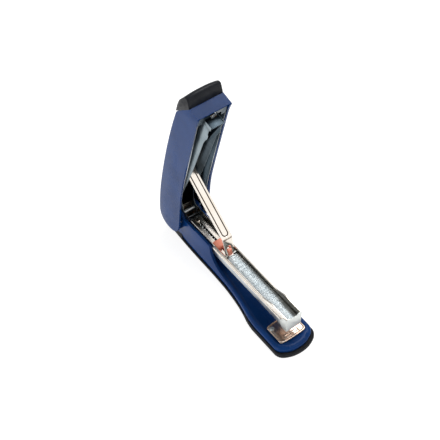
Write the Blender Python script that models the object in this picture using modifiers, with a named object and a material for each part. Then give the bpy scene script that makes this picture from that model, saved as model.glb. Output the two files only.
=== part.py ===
"""Full-strip desktop stapler with a flip-up handle and a loading linkage.

Frame: millimetres below, metres in the file. +X runs forward along the stapler,
+Y to its left, +Z up. The origin is on the sole, straight below the outer face
of the magazine's front plate. The stapler is modelled opened for loading.
"""
import math

import bmesh
import bpy
from mathutils import Matrix, Vector

MM = 0.001

# ---- driving dimensions (mm, degrees) -------------------------------------------
GAP = 0.3                    # clearance between touching pieces
HINGE_X, HINGE_Z = -151.0, 31.5
OPEN_ANGLE = 77.0            # handle rim above the magazine when opened
PIN_R = 1.5
HOLE_R = PIN_R + GAP

SOLE_TOP = 2.7
BASE_TOP = 9.3
HEEL_FRONT = -146.0
HEEL_WALL = 4.0
FRONT_ARC_X, FRONT_ARC_R = -24.8, 38.7
PAD_HALF = 20.7
CHEEK_IN, CHEEK_OUT = 7.9, 10.4
CHEEK_TOP = 32.2

ANVIL_REAR, ANVIL_FRONT, ANVIL_HALF = -18.9, 1.4, 13.9
ANVIL_TOP, ANVIL_THICK = 10.9, 1.3
ANVIL_SCREW_X, ANVIL_SCREW_Y = -14.5, 10.8

MAG_REAR, MAG_BOTTOM = -156.0, 21.0
CHANNEL_HALF, CHANNEL_WALL, CHANNEL_TOP = 7.2, 0.55, 28.2
COVER_HALF, COVER_WALL, COVER_LOW = 7.4, 0.55, 28.5
LOW_WALL, TALL_WALL, REAR_WALL = 33.7, 37.8, 35.0
PLATE_HALF, PLATE_THICK = 8.1, 0.6
CORE_HALF, CORE_WALL, CORE_TOP, CORE_REAR = 5.4, 0.6, 29.6, -140.0
STAPLE_HALF, STAPLE_WIRE, STAPLE_LEG = 6.3, 0.5, 6.0
STRIP_REAR, STRIP_FRONT = -85.8, -3.1
CROWN_TOP = CORE_TOP + GAP + STAPLE_WIRE
ROD_R, ROD_Z = 0.8, 25.4

PUSHER_HALF = 6.2
TONGUE_HALF, TONGUE_TOP = 1.7, 38.0

HANDLE_HALF, HANDLE_WALL = 16.6, 1.8
RIM = -1.3
LEVER_HALF, LEVER_WALL = 14.5, 0.9
FRAME_HALF, FRAME_WALL = 6.3, 0.8
BLADE_X, BLADE_THICK, BLADE_END = 148.8, 0.6, -9.4
NOSE_SCREW_X = 154.5
CAP_LOW = (160.3, 9.2)       # where the soft cap meets the nose front
CAP_HIGH = (141.3, 23.2)     # where the soft cap meets the top

LINK_PIVOT = (57.0, 11.5)    # in the handle's own frame
LINK_ANGLE = -36.6           # plate direction above the horizon when opened
LINK_LENGTH, LINK_HALF, LINK_THICK = 69.8, 5.1, 1.2
TAB_TIP = (83.5, -10.55)     # prong tips in the link's own frame
PRONG_INNER, PRONG_OUTER, ARCH_DEPTH = 2.1, 4.9, 9.5


# ---- scene ----------------------------------------------------------------------
def clear_scene():
    for obj in list(bpy.data.objects):
        bpy.data.objects.remove(obj, do_unlink=True)


def new_collection(name):
    group = bpy.data.collections.new(name)
    bpy.context.scene.collection.children.link(group)
    return group


clear_scene()
PARTS = new_collection("stapler")
CUTTERS = new_collection("cutters")


def material(name, colour, roughness, metallic):
    mat = bpy.data.materials.new(name)
    mat.use_nodes = True
    shader = mat.node_tree.nodes["Principled BSDF"]
    shader.inputs["Base Color"].default_value = (*colour, 1.0)
    shader.inputs["Roughness"].default_value = roughness
    shader.inputs["Metallic"].default_value = metallic
    mat.diffuse_color = (*colour, 1.0)
    return mat


BLUE = ((0.045, 0.105, 0.29), 0.35, 0.0)
BLACK = ((0.016, 0.017, 0.02), 0.7, 0.0)
STEEL = ((0.62, 0.62, 0.6), 0.3, 1.0)
NICKEL = ((0.78, 0.74, 0.67), 0.18, 1.0)
DARK = ((0.06, 0.065, 0.075), 0.4, 0.9)
SALMON = ((0.75, 0.2, 0.13), 0.45, 0.0)
STAPLE = ((0.66, 0.7, 0.72), 0.25, 1.0)


def empty(name, location, angle=0.0, parent=None):
    """Frame for a moving group: origin on its pivot, turned about Y."""
    frame = bpy.data.objects.new(name, None)
    PARTS.objects.link(frame)
    frame.location = Vector(location) * MM
    frame.rotation_euler = (0.0, -math.radians(angle), 0.0)
    frame.parent = parent
    return frame


# ---- shape helpers --------------------------------------------------------------
def fillet(corners, steps=4):
    """Polygon points, each corner (a, b) or (a, b, radius) rounded by an arc."""
    points = []
    count = len(corners)
    for i, corner in enumerate(corners):
        here = Vector(corner[:2])
        if len(corner) < 3:
            points.append(tuple(here))
            continue
        before = Vector(corners[i - 1][:2]) - here
        after = Vector(corners[(i + 1) % count][:2]) - here
        half = before.angle(after) / 2
        reach = min(corner[2] / math.tan(half), 0.49 * before.length, 0.49 * after.length)
        radius = reach * math.tan(half)
        start = here + before.normalized() * reach
        end = here + after.normalized() * reach
        bisector = (before.normalized() + after.normalized()).normalized()
        centre = here + bisector * math.hypot(radius, reach)
        a0 = math.atan2(start.y - centre.y, start.x - centre.x)
        turn = math.atan2(end.y - centre.y, end.x - centre.x) - a0
        turn = (turn + math.pi) % (2 * math.pi) - math.pi
        for k in range(steps + 1):
            angle = a0 + turn * k / steps
            points.append((centre.x + radius * math.cos(angle), centre.y + radius * math.sin(angle)))
    return points


AXES = {
    "side": Matrix(((1, 0, 0, 0), (0, 0, -1, 0), (0, 1, 0, 0), (0, 0, 0, 1))),
    "plan": Matrix.Identity(4),
    "front": Matrix(((0, 0, 1, 0), (1, 0, 0, 0), (0, 1, 0, 0), (0, 0, 0, 1))),
}


def prism(name, outline, low, high, view="side"):
    """Mesh object: a flat outline given its thickness from low to high.

    side: outline in X and Z, thickness along Y; plan: X and Y, along Z;
    front: Y and Z, along X.
    """
    curve = bpy.data.curves.new(name, "CURVE")
    curve.dimensions = "2D"
    curve.fill_mode = "BOTH"
    curve.extrude = abs(high - low) / 2 * MM
    spline = curve.splines.new("POLY")
    spline.points.add(len(outline) - 1)
    for point, corner in zip(spline.points, outline):
        point.co = (corner[0] * MM, corner[1] * MM, 0.0, 1.0)
    spline.use_cyclic_u = True
    flat = bpy.data.objects.new(name + "_outline", curve)
    PARTS.objects.link(flat)
    bpy.context.view_layer.update()
    graph = bpy.context.evaluated_depsgraph_get()
    mesh = bpy.data.meshes.new_from_object(flat.evaluated_get(graph))
    bpy.data.objects.remove(flat, do_unlink=True)
    middle = (low + high) / 2 * MM
    shift = {"side": (0, middle, 0), "plan": (0, 0, middle), "front": (middle, 0, 0)}[view]
    bm = bmesh.new()
    bm.from_mesh(mesh)
    bmesh.ops.remove_doubles(bm, verts=bm.verts, dist=2e-6)
    bmesh.ops.dissolve_limit(bm, angle_limit=0.0005, verts=bm.verts, edges=bm.edges)
    bm.transform(Matrix.Translation(shift) @ AXES[view])
    bmesh.ops.recalc_face_normals(bm, faces=bm.faces)
    bm.to_mesh(mesh)
    bm.free()
    return link_mesh(name, mesh)


def link_mesh(name, mesh):
    mesh.name = name
    obj = bpy.data.objects.new(name, mesh)
    PARTS.objects.link(obj)
    return obj


def rod(name, start, end, radius, sides=20, radius_end=None):
    """Cylinder or cone between two points."""
    bm = bmesh.new()
    axis = Vector(end) - Vector(start)
    tip = radius if radius_end is None else radius_end
    bmesh.ops.create_cone(bm, cap_ends=True, segments=sides, radius1=radius * MM,
                          radius2=tip * MM, depth=axis.length * MM)
    turn = Vector((0, 0, 1)).rotation_difference(axis).to_matrix().to_4x4()
    middle = (Vector(start) + Vector(end)) / 2 * MM
    bm.transform(Matrix.Translation(middle) @ turn)
    mesh = bpy.data.meshes.new(name)
    bm.to_mesh(mesh)
    bm.free()
    return link_mesh(name, mesh)


def block(name, low, high):
    bm = bmesh.new()
    bmesh.ops.create_cube(bm, size=1.0)
    size = Vector(high) - Vector(low)
    middle = (Vector(high) + Vector(low)) / 2
    bm.transform(Matrix.Translation(middle * MM) @ Matrix.Diagonal((*(size * MM), 1.0)))
    mesh = bpy.data.meshes.new(name)
    bm.to_mesh(mesh)
    bm.free()
    return link_mesh(name, mesh)


def fastener(name, seat, axis, head_r, head_h, shank_r, shank_l, sides=16):
    """Screw or rivet turned about its axis: head above the seat, shank below."""
    profile = ((0.0, head_h), (head_r * 0.8, head_h), (head_r, head_h * 0.55), (head_r, 0.0),
               (shank_r, 0.0), (shank_r, -shank_l), (0.0, -shank_l))
    bm = bmesh.new()
    ring = [bm.verts.new((r * MM, 0.0, z * MM)) for r, z in profile]
    for a, b in zip(ring, ring[1:]):
        bm.edges.new((a, b))
    bmesh.ops.spin(bm, geom=bm.verts[:] + bm.edges[:], cent=(0, 0, 0), axis=(0, 0, 1),
                   angle=2 * math.pi, steps=sides, use_merge=True)
    bmesh.ops.remove_doubles(bm, verts=bm.verts, dist=1e-6)
    bmesh.ops.recalc_face_normals(bm, faces=bm.faces)
    turn = Vector((0, 0, 1)).rotation_difference(Vector(axis)).to_matrix().to_4x4()
    bm.transform(Matrix.Translation(Vector(seat) * MM) @ turn)
    mesh = bpy.data.meshes.new(name)
    bm.to_mesh(mesh)
    bm.free()
    return link_mesh(name, mesh)


def coil(name, start, end, radius, wire, turns, per_turn=10):
    """Compression spring along the line from start to end."""
    axis = Vector(end) - Vector(start)
    turn = Vector((0, 0, 1)).rotation_difference(axis).to_matrix()
    curve = bpy.data.curves.new(name, "CURVE")
    curve.dimensions = "3D"
    curve.bevel_depth = wire / 2 * MM
    curve.bevel_resolution = 1
    curve.use_fill_caps = True
    count = turns * per_turn
    spline = curve.splines.new("POLY")
    spline.points.add(count)
    for i, point in enumerate(spline.points):
        angle = 2 * math.pi * i / per_turn
        rise = wire / 2 + (axis.length - wire) * i / count
        local = Vector((radius * math.cos(angle), radius * math.sin(angle), rise))
        place = (Vector(start) + turn @ local) * MM
        point.co = (*place, 1.0)
    wire_obj = bpy.data.objects.new(name + "_wire", curve)
    PARTS.objects.link(wire_obj)
    bpy.context.view_layer.update()
    graph = bpy.context.evaluated_depsgraph_get()
    mesh = bpy.data.meshes.new_from_object(wire_obj.evaluated_get(graph))
    bpy.data.objects.remove(wire_obj, do_unlink=True)
    bm = bmesh.new()
    bm.from_mesh(mesh)
    bmesh.ops.remove_doubles(bm, verts=bm.verts, dist=2e-6)
    bmesh.ops.recalc_face_normals(bm, faces=bm.faces)
    bm.to_mesh(mesh)
    bm.free()
    return link_mesh(name, mesh)


def combine(obj, other, operation):
    """Boolean that keeps the other shape as a hidden cutter."""
    PARTS.objects.unlink(other)
    CUTTERS.objects.link(other)
    other.hide_render = True
    other.display_type = "WIRE"
    step = obj.modifiers.new(operation.lower() + "_" + other.name, "BOOLEAN")
    step.operation = operation
    step.object = other
    return obj


def cut(obj, *others):
    for other in others:
        combine(obj, other, "DIFFERENCE")


def join(obj, *others):
    for other in others:
        combine(obj, other, "UNION")


def soften(obj, width, segments=2, angle=40.0):
    step = obj.modifiers.new("rounded_edges", "BEVEL")
    step.width = width * MM
    step.segments = segments
    step.limit_method = "ANGLE"
    step.angle_limit = math.radians(angle)


def hang(obj, parent):
    """Parent a piece, and every cutter it uses, to its pivot."""
    obj.parent = parent
    for step in obj.modifiers:
        if step.type == "BOOLEAN":
            hang(step.object, parent)


def finish(obj, look, parent=None, smooth=False):
    """Give the piece its material and hang it on its pivot."""
    obj.data.materials.clear()
    obj.data.materials.append(material(obj.name, *look))
    if smooth:
        obj.data.shade_smooth()
        obj.data.set_sharp_from_angle(angle=math.radians(35))
    hang(obj, parent)


# ---- base -----------------------------------------------------------------------
def base_outline(inset=0.0, rear=-174.0, front=None):
    """Plan of the base: slim behind, waisted, wide and round at the front pad."""
    half = [(rear + inset, 10.0 - inset, 7.0), (-133.0, 12.0 - inset, 60.0),
            (-97.0, 12.0 - inset, 60.0), (-71.0, 13.0 - inset, 60.0),
            (-49.0, 16.4 - inset, 40.0), (-34.0, 20.8 - inset, 26.0),
            (6.5, PAD_HALF - inset, 9.0)]
    side = fillet([(rear + inset, 0.0)] + half + [(front or 14.0, 10.0)], 4)[1:-1]
    if front is None:
        reach = FRONT_ARC_R - inset
        for k in range(4, 0, -1):
            angle = math.radians(5.0 * k)
            side.append((FRONT_ARC_X + reach * math.cos(angle), reach * math.sin(angle)))
        tip = [(FRONT_ARC_X + reach, 0.0)]
    else:
        side = [p for p in side if p[0] < front]
        side.append((front, side[-1][1]))
        tip = []
    mirrored = [(x, -y) for x, y in reversed(side)]
    return side + tip + mirrored


def cheek(name, inner, outer):
    step = CHEEK_TOP - 0.8
    profile = fillet([(-154.0, BASE_TOP - 1.5), (-156.0, 16.0, 6), (-159.5, 24.0, 6), (-160.5, 30.0, 4),
                      (-157.0, 36.2, 4), (-149.0, 36.6, 5), (-144.5, step, 3), (-127.6, step),
                      (-127.0, CHEEK_TOP), (-105.8, CHEEK_TOP), (-103.0, 21.0, 8), (-95.0, 12.6, 10),
                      (-82.0, BASE_TOP - 0.2, 10), (-78.0, BASE_TOP - 1.5)], 3)
    return prism(name, profile, inner, outer)


def make_base():
    shell = prism("base_shell", base_outline(0.4), SOLE_TOP + GAP, BASE_TOP, "plan")
    soften(shell, 1.4)
    join(shell, cheek("cheek_right", -CHEEK_OUT, -CHEEK_IN), cheek("cheek_left", CHEEK_IN, CHEEK_OUT))
    heel_relief = prism("heel_relief", base_outline(-1.0, front=HEEL_FRONT + GAP),
                        0, BASE_TOP + GAP, "plan")
    heel_core = prism("heel_core", base_outline(HEEL_WALL + GAP, front=HEEL_FRONT + 1.0),
                      0, BASE_TOP + 2, "plan")
    combine(heel_relief, heel_core, "DIFFERENCE")
    cut(shell, heel_relief)
    hollow = prism("shell_hollow", [(-104, -8.5), (-50, -12), (-26, -16), (-26, 16), (-50, 12),
                                    (-104, 8.5)],
                   0, 6.8, "plan")
    cut(shell, hollow)
    cut(shell, rod("cheek_bore", (HINGE_X, -20, HINGE_Z), (HINGE_X, 20, HINGE_Z), HOLE_R))
    for side in (-1, 1):
        y = side * ANVIL_SCREW_Y
        cut(shell, rod(f"anvil_pilot_{side}", (ANVIL_SCREW_X, y, 4.0), (ANVIL_SCREW_X, y, 12.0), 1.3, 12))
    finish(shell, BLUE)

    sole = prism("sole_pad", base_outline(), 0.0, SOLE_TOP, "plan")
    heel = prism("heel_wall", base_outline(0.0, front=HEEL_FRONT), 1.0, BASE_TOP, "plan")
    heel_hole = prism("heel_hole", base_outline(HEEL_WALL, front=HEEL_FRONT + 1.0),
                      SOLE_TOP, BASE_TOP + 1, "plan")
    soften(heel, 1.2)
    join(sole, heel)
    cut(sole, heel_hole)
    finish(sole, BLACK)


def make_anvil():
    low = ANVIL_TOP - ANVIL_THICK
    bow = 2.0
    plan = fillet([(ANVIL_REAR, -ANVIL_HALF, 2), (ANVIL_FRONT, -ANVIL_HALF, 2),
                   (ANVIL_FRONT + bow, 0.0, 30),
                   (ANVIL_FRONT, ANVIL_HALF, 2), (ANVIL_REAR, ANVIL_HALF, 2),
                   (ANVIL_REAR - bow, 0.0, 30)], 4)
    plate = prism("anvil_plate", plan, low, ANVIL_TOP, "plan")
    soften(plate, 0.35, 1)
    die_x = -1.7
    cut(plate, block("die_seat", (die_x - 2.5, -8.3, 0), (die_x + 2.5, 8.3, 20)))
    for side in (-1, 1):
        y = side * ANVIL_SCREW_Y
        cut(plate, rod(f"anvil_hole_{side}", (ANVIL_SCREW_X, y, 0), (ANVIL_SCREW_X, y, 20), 1.4, 12))
    finish(plate, NICKEL)

    die = block("anvil_die", (die_x - 2.2, -8.0, low), (die_x + 2.2, 8.0, ANVIL_TOP + 0.2))
    soften(die, 0.25, 1)
    for side in (-1, 1):
        groove = rod(f"crimp_groove_{side}", (die_x, side * 1.2, ANVIL_TOP + 0.9),
                     (die_x, side * 6.8, ANVIL_TOP + 0.9), 1.2, 16)
        cut(die, groove)
    finish(die, STEEL)

    for side, word in ((-1, "right"), (1, "left")):
        screw = fastener(f"anvil_screw_{word}", (ANVIL_SCREW_X, side * ANVIL_SCREW_Y, ANVIL_TOP + GAP),
                         (0, 0, 1),
                         2.1, 0.9, 1.0, 5.5)
        slot_low = (ANVIL_SCREW_X - 0.3, side * ANVIL_SCREW_Y - 3, ANVIL_TOP + GAP + 0.5)
        slot_high = (ANVIL_SCREW_X + 0.3, side * ANVIL_SCREW_Y + 3, ANVIL_TOP + GAP + 2)
        cut(screw, block(f"anvil_slot_{word}", slot_low, slot_high))
        finish(screw, STEEL)


def make_hinge():
    pin = rod("hinge_pin", (HINGE_X, -14.2, HINGE_Z), (HINGE_X, 14.2, HINGE_Z), PIN_R, 20)
    finish(pin, STEEL, smooth=True)
    spring = coil("lift_spring", (-119, 0, BASE_TOP + GAP), (-119, 0, MAG_BOTTOM - GAP), 3.4, 0.6, 4)
    finish(spring, STEEL, smooth=True)


# ---- magazine -------------------------------------------------------------------
def make_magazine(frame):
    def place(obj, look, smooth=False):
        finish(obj, look, frame, smooth)

    x0, z0 = HINGE_X, HINGE_Z
    rear, front = MAG_REAR - x0, -x0

    def rel(points):
        return [(p[0] - x0, p[1] - z0, *p[2:]) for p in points]

    floor = MAG_BOTTOM - z0
    channel = block("magazine_channel", (rear, -CHANNEL_HALF, floor),
                    (STRIP_FRONT - x0, CHANNEL_HALF, CHANNEL_TOP - z0))
    inner = CHANNEL_HALF - CHANNEL_WALL
    cut(channel, block("channel_hollow", (rear - 1, -inner, floor + 0.6), (front + 1, inner, 10)))
    cut(channel, rod("channel_rivet_hole", (-137 - x0, 0, floor - 1), (-137 - x0, 0, 0), 1.2, 12))
    place(channel, STEEL)

    side = rel([(MAG_REAR, COVER_LOW), (MAG_REAR, 36.0), (-146.0, 36.0, 3), (-142.0, REAR_WALL, 3),
                (-105.0, REAR_WALL), (-102.0, LOW_WALL), (-33.2, LOW_WALL), (-21.3, TALL_WALL),
                (-PLATE_THICK - GAP, TALL_WALL), (-PLATE_THICK - GAP, COVER_LOW)])
    cover = prism("magazine_cover", side, -COVER_HALF, COVER_HALF)
    inner = COVER_HALF - COVER_WALL
    cut(cover, block("cover_hollow", (rear + COVER_WALL, -inner, -20), (front + 5, inner, 20)))
    cut(cover, rod("cover_bore", (0, -20, 0), (0, 20, 0), HOLE_R))
    for word, sign in (("right", -1), ("left", 1)):
        cut(cover, rod(f"cover_rivet_hole_{word}", (-5 - x0, 0, 31 - z0), (-5 - x0, sign * 20, 31 - z0),
                       1.0, 12))
    place(cover, NICKEL)

    notch = 1.4
    notch_floor = TALL_WALL - notch
    face = fillet([(-PLATE_HALF, MAG_BOTTOM, 1), (-PLATE_HALF, TALL_WALL, 1), (-3.4, TALL_WALL),
                   (-2.0, notch_floor), (-0.9, notch_floor), (0, TALL_WALL - 0.5), (0.9, notch_floor),
                   (2.0, notch_floor), (3.4, TALL_WALL),
                   (PLATE_HALF, TALL_WALL, 1), (PLATE_HALF, MAG_BOTTOM, 1)], 2)
    plate = prism("front_plate", [(y, z - z0) for y, z in face], front - PLATE_THICK, front, "front")
    wrap = rel([(-PLATE_THICK / 2, MAG_BOTTOM + 0.5), (-PLATE_THICK / 2, TALL_WALL - 1),
                (-4.5, TALL_WALL - 1.5),
                (-9.5, 28.0), (-8.0, 25.0), (-5.0, MAG_BOTTOM + 0.5)])
    for word, low, high in (("right", -PLATE_HALF, -PLATE_HALF + 0.4),
                            ("left", PLATE_HALF - 0.4, PLATE_HALF)):
        wing = prism(f"wrap_{word}", wrap, low, high)
        join(plate, wing)
        cut(plate, rod(f"wrap_hole_{word}", (-5 - x0, low * 0.5, 31 - z0), (-5 - x0, low * 2, 31 - z0),
                       1.0, 12))
    place(plate, NICKEL)
    for word, sign in (("right", -1), ("left", 1)):
        seat = (-5 - x0, sign * (PLATE_HALF + 0.1), 31 - z0)
        rivet = fastener(f"front_rivet_{word}", seat, (0, sign, 0), 1.5, 0.6, 0.7, 1.5)
        place(rivet, NICKEL)

    leg = CORE_HALF - CORE_WALL
    core = block("staple_core", (CORE_REAR - x0, -CORE_HALF, MAG_BOTTOM + 0.9 - z0),
                 (STRIP_FRONT - 0.4 - x0, CORE_HALF, CORE_TOP - z0))
    cut(core, block("core_hollow", (CORE_REAR - x0 - 1, -leg, -20),
                    (5 + front, leg, CORE_TOP - CORE_WALL - z0)))
    cut(core, block("core_slot", (-133.5 - x0, -1.2, -5), (-99.5 - x0, 1.2, 5)))
    cut(core, rod("core_rivet_hole", (-137 - x0, 0, -15), (-137 - x0, 0, 5), 1.2, 12))
    place(core, STEEL)
    seat = (-137 - x0, 0, CORE_TOP + 0.2 - z0)
    rivet = fastener("core_rivet", seat, (0, 0, 1), 2.0, 0.7, 0.8, CORE_TOP - MAG_BOTTOM + 0.9)
    place(rivet, NICKEL)

    strip = block("staple_strip", (STRIP_REAR - x0, -STAPLE_HALF, CROWN_TOP - STAPLE_LEG - z0),
                  (STRIP_FRONT - x0, STAPLE_HALF, CROWN_TOP - z0))
    inner = STAPLE_HALF - STAPLE_WIRE
    cut(strip, block("strip_hollow", (STRIP_REAR - x0 - 1, -inner, -20),
                     (front, inner, CROWN_TOP - STAPLE_WIRE - z0)))
    place(strip, STAPLE)

    z = ROD_Z - z0
    guide = rod("spring_rod", (-135.2 - x0, 0, z), (-6 - x0, 0, z), ROD_R, 12)
    place(guide, STEEL, True)
    spring = coil("pusher_spring", (-134.8 - x0, 0, z), (-106.4 - x0, 0, z), 2.6, 0.5, 8, 8)
    place(spring, STEEL, True)


def make_pusher(frame):
    x0, z0 = HINGE_X, HINGE_Z
    top = CORE_TOP + 0.35 - z0
    saddle = block("pusher_block", (-107 - x0, -PUSHER_HALF, top), (-98 - x0, PUSHER_HALF, 33.5 - z0))
    soften(saddle, 0.5, 1)
    tray_half = PUSHER_HALF - 0.1
    tray = [(-98.5, -tray_half), (-87.2, -tray_half), (-87.2, tray_half), (-98.5, tray_half), (-98.5, 4.6),
            (-89.0, 4.6), (-89.0, -4.6), (-98.5, -4.6)]
    join(saddle, prism("pusher_tray", [(x - x0, y) for x, y in tray], top + 0.05, 30.9 - z0, "plan"))
    hook = fillet([(-88.7 - x0, top + 0.1), (-87.4 - x0, top + 0.1), (-87.9 - x0, TONGUE_TOP - 1 - z0, 1),
                   (-90.6 - x0, TONGUE_TOP - z0, 1), (-91.2 - x0, TONGUE_TOP - 2.5 - z0, 1),
                   (-90.0 - x0, 32.5 - z0, 1)], 2)
    join(saddle, prism("pusher_tongue", hook, -TONGUE_HALF, TONGUE_HALF))
    join(saddle, block("pusher_stem", (-105.5 - x0, -0.8, 27.6 - z0), (-101.5 - x0, 0.8, 31 - z0)))
    join(saddle, block("pusher_foot", (-105.5 - x0, -3.2, 22.6 - z0), (-101.5 - x0, 3.2, 28.4 - z0)))
    cut(saddle, rod("foot_bore", (-110 - x0, 0, ROD_Z - z0), (-95 - x0, 0, ROD_Z - z0), ROD_R + GAP, 12))
    finish(saddle, SALMON, frame)

    outer, inner = 6.35, CORE_HALF + 0.3
    crown, foot = 30.6 - z0, 24.6 - z0
    arch = [(-outer, foot), (-outer, crown), (outer, crown), (outer, foot), (inner, foot), (inner, top),
            (-inner, top), (-inner, foot)]
    finish(prism("pusher_plate", arch, -86.9 - x0, -86.1 - x0, "front"), NICKEL, frame)


# ---- handle (own frame: X along the rim, Z away from the magazine) --------------
def cover_profile(inset=0.0):
    """Side outline of the handle cover; the inset one is its hollow."""
    t = inset
    nose = Vector((CAP_LOW[0] - t, CAP_LOW[1] - 0.5 * t))
    shoulder = Vector((CAP_HIGH[0] - 0.35 * t, CAP_HIGH[1] - t))
    top = [(nose.x, nose.y), (shoulder.x, shoulder.y, 6), (118, 25.2 - t, 60), (88, 26.3 - t, 60),
           (52, 26.2 - t, 60), (20, 24.6 - t, 40), (0, 22.0 - t, 30), (-12 + t * 0.3, 19.8 - t, 12),
           (-19 + t * 0.8, 16 - t * 0.8, 8), (-22.3 + t, 9, 8), (-21.2 + t, 2, 6)]
    if inset:
        tail = [(-24.0, -0.2), (-24.0, -14), (nose.x, -14)]
    else:
        tail = [(-19.2, -3, 5), (-14.5, -7.6, 4), (-6.0, -9.0, 6), (18.8, -5.6, 40), (42, -1.9, 40),
                (70, RIM, 40), (150, RIM - 0.1, 5), (CAP_LOW[0] - 0.2, RIM - 1.6, 1)]
    return fillet(top + tail, 3)


def make_handle(frame):
    def place(obj, look, smooth=False):
        finish(obj, look, frame, smooth)

    cover = prism("handle_cover", cover_profile(), -HANDLE_HALF, HANDLE_HALF)
    soften(cover, 1.5, 2, 60)
    inner = HANDLE_HALF - HANDLE_WALL
    cut(cover, prism("handle_hollow", cover_profile(HANDLE_WALL), -inner, inner))
    boss = rod("nose_boss", (NOSE_SCREW_X, 0, 0.2), (NOSE_SCREW_X, 0, 11.0), 3.0, 16)
    join(cover, boss)
    cut(cover, rod("nose_boss_hole", (NOSE_SCREW_X, 0, -2), (NOSE_SCREW_X, 0, 9), 1.2, 12))
    place(cover, BLUE)

    slope = Vector((CAP_LOW[0] - CAP_HIGH[0], CAP_LOW[1] - CAP_HIGH[1])).normalized()
    lift = Vector((-slope.y, slope.x)) * GAP
    low, high = Vector(CAP_LOW) + lift, Vector(CAP_HIGH) + lift
    cap = prism("nose_cap", fillet([tuple(low), (166.2, 11.4, 4), (170.3, 14.3, 1.5), (169.0, 17.8, 3),
                                    (155.0, 22.5, 30), (high.x - 0.5, 24.0), tuple(high)], 4),
                -HANDLE_HALF, HANDLE_HALF)
    soften(cap, 1.6, 2, 50)
    place(cap, BLACK)

    web = LEVER_WALL
    profile = fillet([(149.6, -0.9), (149.6, 13.4), (140.6, 20.1, 3), (118, 22.6, 20), (60, 23.5, 40),
                      (20, 21.9, 20), (2, 19.4, 8), (-6, 14, 4), (-9, 6, 4), (-9, -3, 4), (-4, -6.6, 3),
                      (6, -6.0, 5), (18, -3.6, 10), (42, -0.8, 10)], 3)
    lever = prism("lever_channel", profile, -LEVER_HALF, LEVER_HALF)
    hollow = [(160, -20), (160, 13.4 - web), (149.6, 13.4 - web), (140.2, 20.1 - web), (118, 22.6 - web),
              (60, 23.5 - web), (20, 21.9 - web), (3, 19.6 - web), (1, 30), (-30, 30), (-30, -20)]
    inner = LEVER_HALF - LEVER_WALL
    cut(lever, prism("lever_hollow", hollow, -inner, inner))
    strap = block("lever_strap", (147.5, -LEVER_HALF, -0.9), (158.0, LEVER_HALF, -0.1))
    strap_gap = block("strap_gap", (140, -9.0, -5), (152.0, 9.0, 5))
    combine(strap, strap_gap, "DIFFERENCE")
    join(lever, strap)
    cut(lever, rod("strap_hole", (NOSE_SCREW_X, 0, -5), (NOSE_SCREW_X, 0, 3), 1.4, 12))
    cut(lever, rod("lever_bore", (0, -20, 0), (0, 20, 0), HOLE_R))
    place(lever, DARK)

    screw = fastener("nose_screw", (NOSE_SCREW_X, 0, -1.2), (0, 0, -1), 2.3, 1.3, 0.9, 8.0)
    place(screw, STEEL)

    profile = fillet([(148.2, -4.5), (143.6, -4.4), (142.4, -3.6), (136.5, -3.5), (135.6, -4.2),
                      (133.8, -4.1),
                      (120, -3.6), (101.8, -2.6), (83.8, -1.0), (64.8, 0.8), (47.8, 3.1), (28.8, 5.6),
                      (11, 4.6, 6), (4.8, -2.2, 3), (0, -4.2, 3), (-4.2, 0, 4), (-1, 3.8, 3),
                      (4.5, 4.6, 4), (15, 12.0, 8),
                      (36, 16.0, 10), (60, 17.0, 10), (126, 14.8, 4), (148.2, 5.5)], 3)
    driver = prism("driver_frame", profile, -FRAME_HALF, FRAME_HALF)
    inner = FRAME_HALF - FRAME_WALL
    hollow = [(150, -20), (150, 5.5 - web), (148.2, 5.5 - web), (126, 14.8 - web), (60, 17.0 - web),
              (36, 16.0 - web), (22, 13.8 - web), (20, 30), (-20, 30), (-20, -20)]
    cut(driver, prism("driver_hollow", hollow, -inner, inner))
    front_web = block("front_web", (147.4, -FRAME_HALF + 0.2, 0.5), (148.2, FRAME_HALF - 0.2, 5.2))
    join(driver, front_web)
    cut(driver, rod("driver_bore", (0, -20, 0), (0, 20, 0), HOLE_R))
    px, pz = LINK_PIVOT
    cut(driver, rod("link_pin_hole", (px, -20, pz), (px, 20, pz), 1.3, 16))
    for sign, word in ((-1, "right"), (1, "left")):
        cut(driver, rod(f"blade_hole_{word}", (140, sign * 3, 2.8), (152, sign * 3, 2.8), 0.9, 12))
    place(driver, STEEL)

    blade_outline = fillet([(-6.2, BLADE_END), (-6.2, 5.0, 1), (6.2, 5.0, 1), (6.2, BLADE_END)], 2)
    blade_front = BLADE_X + BLADE_THICK / 2
    blade = prism("driver_blade", blade_outline, BLADE_X - BLADE_THICK / 2, blade_front, "front")
    for sign, word in ((-1, "right"), (1, "left")):
        cut(blade, rod(f"blade_rivet_hole_{word}", (140, sign * 3, 2.8), (152, sign * 3, 2.8), 0.9, 12))
        rivet = fastener(f"blade_rivet_{word}", (blade_front + 0.1, sign * 3, 2.8), (1, 0, 0),
                         1.5, 0.5, 0.6, 2.6)
        place(rivet, STEEL)
    place(blade, STEEL)

    place(rod("link_pin", (px, -6.6, pz), (px, 6.6, pz), 1.0, 16), STEEL, True)
    spring = coil("lever_spring", (100, 0, 17.0), (100, 0, 21.9), 3.6, 0.6, 3)
    place(spring, STEEL, True)


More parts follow.
